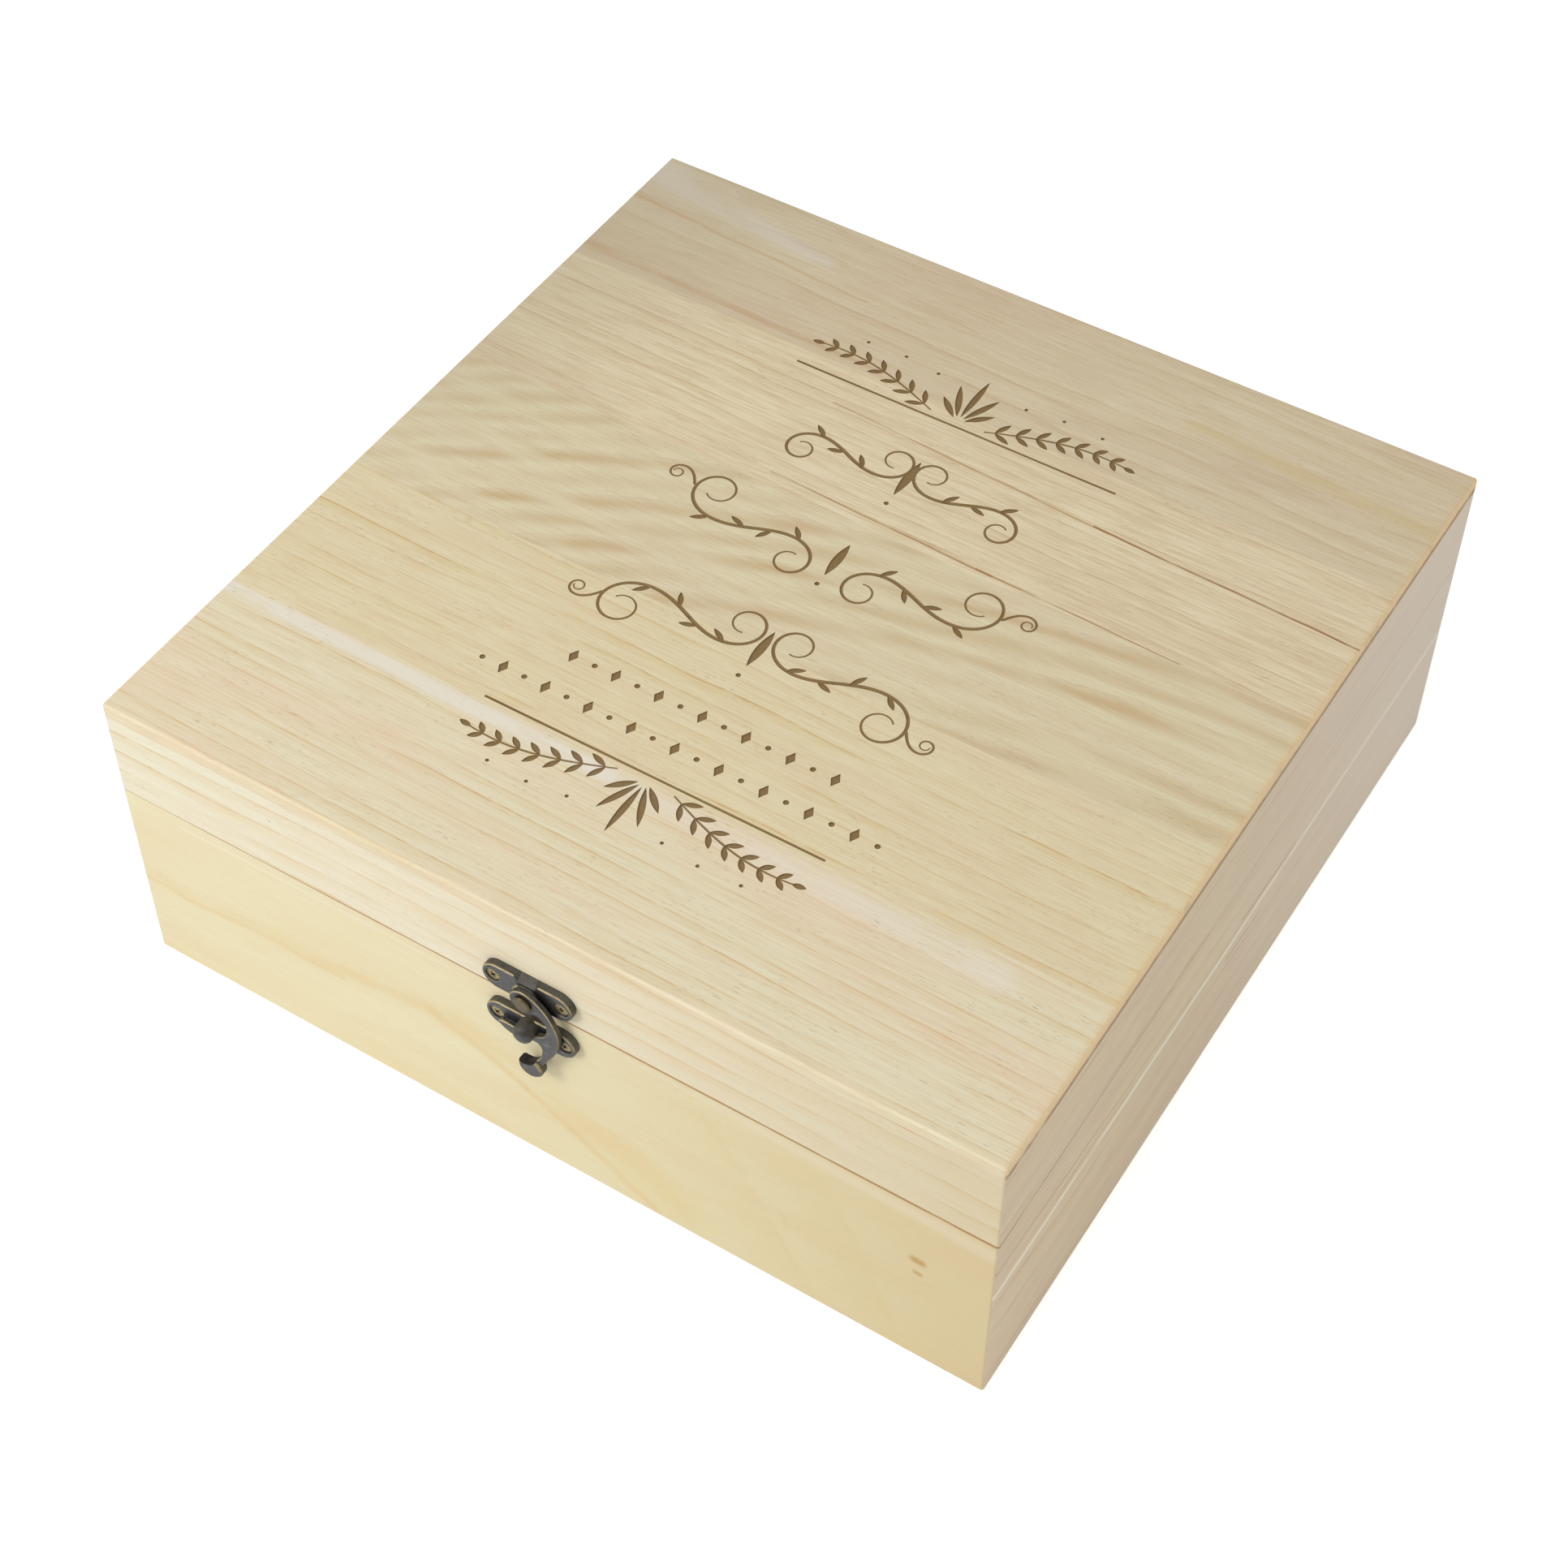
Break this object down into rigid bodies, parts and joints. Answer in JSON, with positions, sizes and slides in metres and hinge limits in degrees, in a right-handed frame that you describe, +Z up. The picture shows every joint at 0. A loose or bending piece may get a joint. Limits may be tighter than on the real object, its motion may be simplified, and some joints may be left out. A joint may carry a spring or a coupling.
{
  "type": "keepsake box",
  "caption": "Square shallow wooden box with a hinged lid of edge-glued boards, a mitred carcass and a swing-hook clasp at the front.",
  "frame": {"origin": "centre of the carcass's underside, on the bottom panel", "axes": "+Z up, the clasp on the -Y face and the hinges on the +Y face, +X to the right of someone who faces the clasp"},
  "size_m": [0.28, 0.2909, 0.107],
  "materials": {
    "lid_top_wood": "sanded bare pale wood with short pores and a carved border",
    "lid_rail_wood": "sanded bare pale wood",
    "base_wood": "sanded bare pale wood",
    "bottom_wood": "sanded bare pale wood panel",
    "antique_bronze": "cast, dark antique bronze worn bright along its edges",
    "aged_brass": "aged brass"
  },
  "bodies": {
    "base": {"base_front_panel": "base_wood", "base_back_panel": "base_wood", "base_left_lower_board": "base_wood", "base_left_upper_board": "base_wood", "base_right_lower_board": "base_wood", "base_right_upper_board": "base_wood", "base_bottom_panel": "bottom_wood", "clasp_catch_plate": "antique_bronze", "clasp_catch_plate_screws": "aged_brass", "hinge_1_base_leaf": "antique_bronze", "hinge_1_pin": "aged_brass", "hinge_1_base_screws": "aged_brass", "hinge_2_base_leaf": "antique_bronze", "hinge_2_pin": "aged_brass", "hinge_2_base_screws": "aged_brass"},
    "lid": {"lid_top_board_1": "lid_top_wood", "lid_top_board_2": "lid_top_wood", "lid_top_board_3": "lid_top_wood", "lid_top_board_4": "lid_top_wood", "lid_top_board_5": "lid_top_wood", "lid_front_rail": "lid_rail_wood", "lid_back_rail": "lid_rail_wood", "lid_left_rail": "lid_rail_wood", "lid_right_rail": "lid_rail_wood", "clasp_pivot_plate": "antique_bronze", "clasp_rivet": "aged_brass", "clasp_pivot_plate_screws": "aged_brass", "hinge_1_lid_leaf": "antique_bronze", "hinge_1_lid_screws": "aged_brass", "hinge_2_lid_leaf": "antique_bronze", "hinge_2_lid_screws": "aged_brass"},
    "hook": {"clasp_hook": "antique_bronze"}
  },
  "joints": [
    {"name": "lid_hinge", "type": "hinge", "parent": "base", "child": "lid", "pos_m": [0, 0.1419, 0.07195], "axis": [-1, 0, 0], "range_deg": [0, 180]},
    {"name": "hook_swing", "type": "hinge", "parent": "lid", "child": "hook", "pos_m": [0, -0.1436, 0.07735], "axis": [0, -1, 0], "range_deg": [0, 100]}
  ]
}
